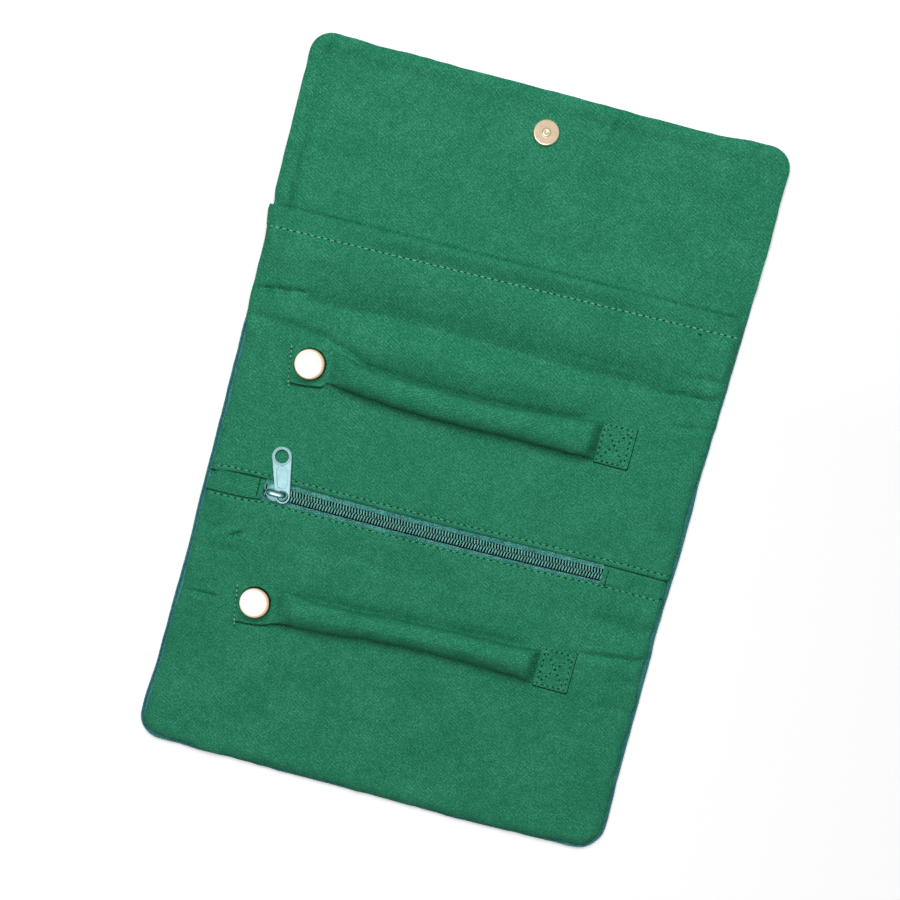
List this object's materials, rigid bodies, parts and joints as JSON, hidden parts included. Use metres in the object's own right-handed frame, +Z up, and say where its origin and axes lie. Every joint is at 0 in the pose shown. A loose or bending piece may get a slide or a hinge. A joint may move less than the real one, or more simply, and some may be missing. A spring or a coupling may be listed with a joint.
{
  "type": "jewelry roll",
  "caption": "Soft tri-fold jewelry roll laid open: padded cloth sections with a slip pocket, a zip pocket, stuffed ring bars held by press snaps, and a flap with a magnetic snap.",
  "frame": {"origin": "on the table, under the middle of the open roll", "axes": "+X across the roll, +Y from the front section towards the flap's free edge, +Z up off the table"},
  "size_m": [0.23, 0.348, 0.0162],
  "materials": {
    "cover_cloth": "matt woven cloth, teal",
    "lining_cloth": "matt cotton twill, green",
    "padding": "soft off-white wadding",
    "zip_cloth": "woven tape, teal",
    "zip_coil": "moulded nylon coil, dark teal",
    "zip_metal": "glossy enamel, pale aqua",
    "snap_gold": "polished pale gold plating",
    "snap_steel": "plain plated steel",
    "magnet": "sintered magnet, dark grey"
  },
  "bodies": {
    "back": {"back_cover": "cover_cloth", "back_padding": "padding", "back_lining": "lining_cloth", "back_seam_left": "cover_cloth", "back_seam_right": "cover_cloth", "slip_pocket_panel_back": "lining_cloth", "zip_pocket_panel_back": "lining_cloth", "zip_tape_upper": "zip_cloth", "zip_tape_lower": "zip_cloth", "zip_coil_upper": "zip_coil", "zip_coil_lower": "zip_coil", "zip_end_tab_left": "lining_cloth", "zip_end_tab_right": "lining_cloth", "upper_bar_stitched_tab": "lining_cloth", "upper_bar_base_tab": "lining_cloth", "upper_snap_stud": "snap_steel", "upper_snap_post": "snap_steel"},
    "flap": {"flap_cover": "cover_cloth", "flap_padding": "padding", "flap_lining": "lining_cloth", "flap_seam_left": "cover_cloth", "flap_seam_right": "cover_cloth", "slip_pocket_panel_flap": "lining_cloth", "magnet_plate": "snap_gold", "magnet_plate_washer": "snap_steel"},
    "front": {"front_cover": "cover_cloth", "front_padding": "padding", "front_lining": "lining_cloth", "front_seam_left": "cover_cloth", "front_seam_right": "cover_cloth", "front_seam_bottom": "cover_cloth", "zip_pocket_panel_front": "lining_cloth", "magnet_case": "snap_gold", "magnet_case_washer": "snap_steel", "magnet_ring": "magnet", "lower_bar_stitched_tab": "lining_cloth", "lower_bar_base_tab": "lining_cloth", "lower_snap_stud": "snap_steel", "lower_snap_post": "snap_steel"},
    "slider": {"zip_slider": "zip_metal"},
    "puller": {"zip_puller": "zip_metal"},
    "upper_bar": {"upper_bar_cover": "lining_cloth", "upper_bar_stuffing": "padding", "upper_snap_cap": "snap_gold", "upper_snap_socket": "snap_steel"},
    "lower_bar": {"lower_bar_cover": "lining_cloth", "lower_bar_stuffing": "padding", "lower_snap_cap": "snap_gold", "lower_snap_socket": "snap_steel"}
  },
  "joints": [
    {"name": "upper_fold", "type": "hinge", "parent": "back", "child": "flap", "pos_m": [0, 0.054, 0.014], "axis": [1, 0, 0], "range_deg": [0, 180]},
    {"name": "lower_fold", "type": "hinge", "parent": "back", "child": "front", "pos_m": [0, -0.07, 0.0113], "axis": [-1, 0, 0], "range_deg": [0, 180]},
    {"name": "zip_slide", "type": "slide", "parent": "back", "child": "slider", "axis": [-1, 0, 0], "range_m": [-0.15, 0], "deforming": ["zip_coil_upper", "zip_coil_lower"]},
    {"name": "puller_swing", "type": "hinge", "parent": "slider", "child": "puller", "pos_m": [-0.0759, -0.0425, 0.0069], "axis": [0, 0, 1], "range_deg": [-210, 0]},
    {"name": "upper_bar_lift", "type": "hinge", "parent": "back", "child": "upper_bar", "pos_m": [0.062, 0.0208, 0.0054], "axis": [0, -1, 0], "range_deg": [-90, 0]},
    {"name": "lower_bar_lift", "type": "hinge", "parent": "front", "child": "lower_bar", "pos_m": [0.062, -0.0905, 0.0054], "axis": [0, -1, 0], "range_deg": [-90, 0]}
  ]
}
